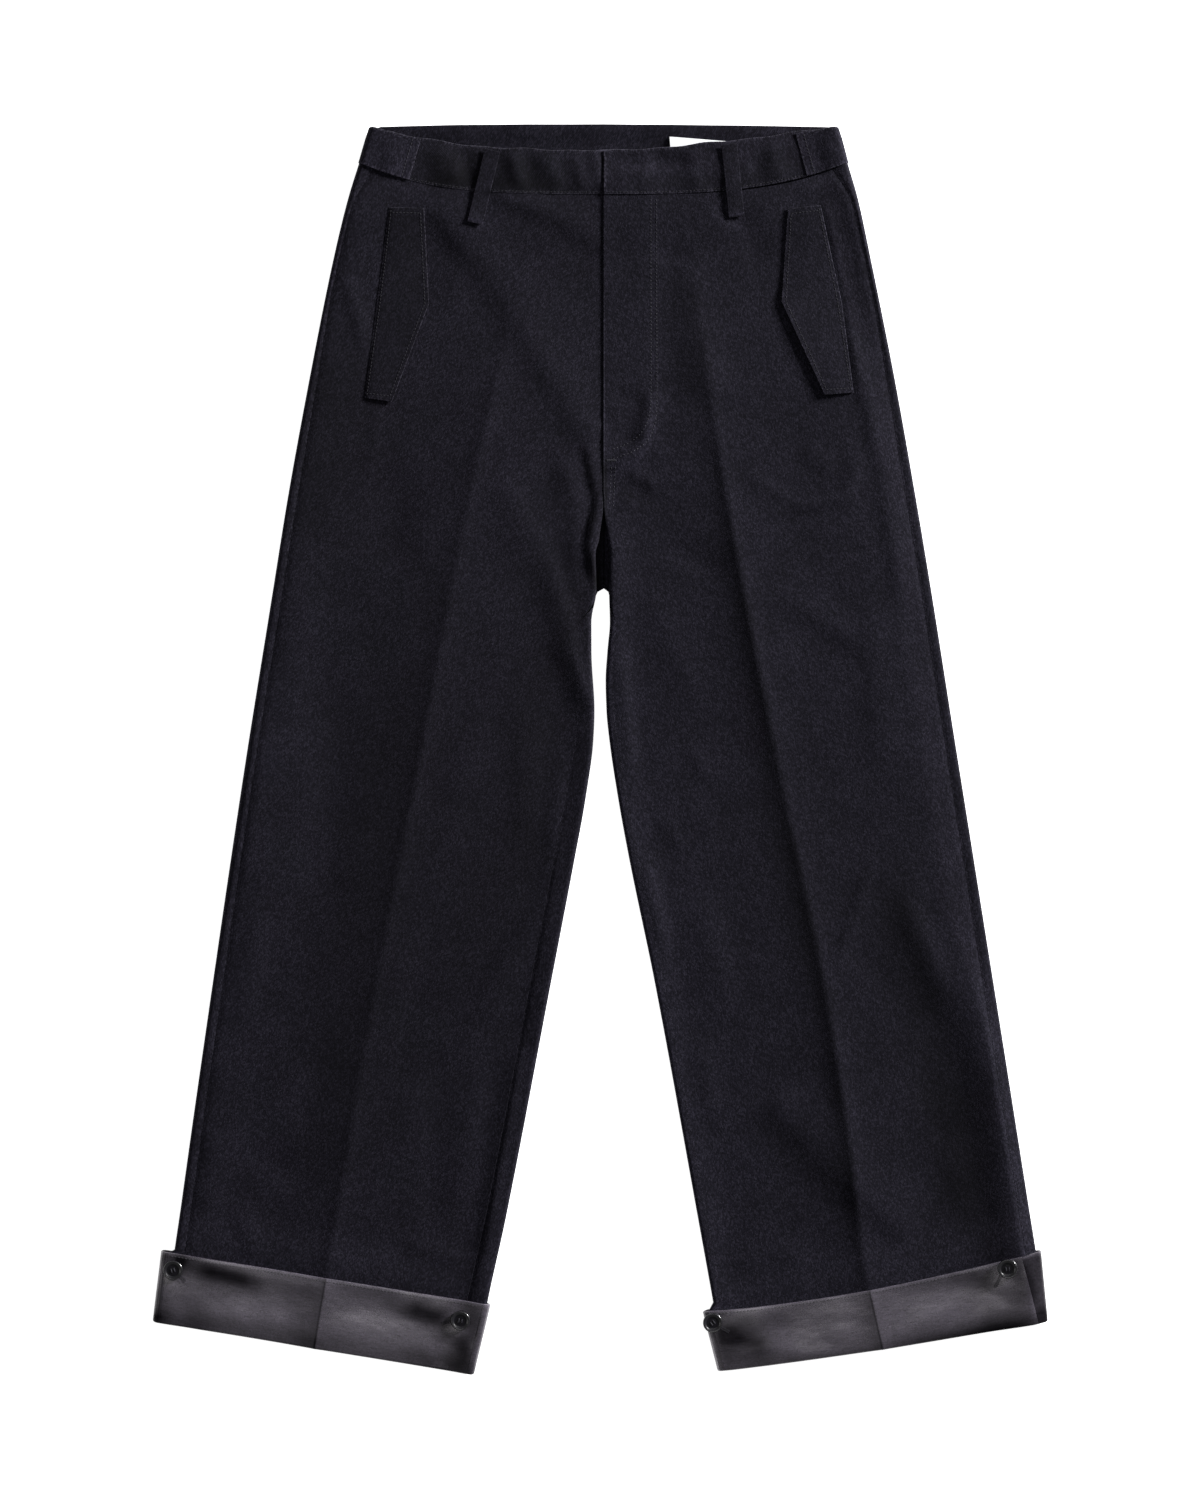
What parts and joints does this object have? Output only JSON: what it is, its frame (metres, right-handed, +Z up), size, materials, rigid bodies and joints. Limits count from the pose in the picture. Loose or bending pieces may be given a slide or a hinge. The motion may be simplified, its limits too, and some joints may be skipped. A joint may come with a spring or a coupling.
{
  "type": "denim trousers",
  "caption": "Wide-leg black denim trousers laid flat, with slanted hip flaps, side tabs, belt loops, a lapped fly and buttoned turn-ups.",
  "frame": {"origin": "on the surface that the trousers lie on, under the middle of their outline", "axes": "+Z up out of the front of the trousers, +Y from the hems to the waist, +X to the wearer's left"},
  "size_m": [0.7425, 1.0376, 0.0142],
  "materials": {
    "denim": "overdyed black twill, dull, faint diagonal rib",
    "satin_facing": "black satin-faced cloth with a soft grey sheen",
    "button": "polished black",
    "label_tape": "plain white woven tape, blank"
  },
  "bodies": {
    "root": {"front_panel_right": "denim", "back_panel_right": "denim", "waistband_front_right": "denim", "side_tab_right": "denim", "hip_flap_right": "denim", "turn_up_front_right": "satin_facing", "turn_up_back_right": "satin_facing", "front_panel_left": "denim", "back_panel_left": "denim", "waistband_front_left": "denim", "side_tab_left": "denim", "hip_flap_left": "denim", "turn_up_front_left": "satin_facing", "turn_up_back_left": "satin_facing", "waistband_back": "denim", "belt_loop_front_right": "denim", "belt_loop_front_left": "denim", "belt_loop_back_right": "denim", "belt_loop_back_centre": "denim", "belt_loop_back_left": "denim", "waist_label": "label_tape", "button_right_outer": "button", "button_right_inner": "button", "button_left_inner": "button", "button_left_outer": "button"}
  },
  "joints": []
}
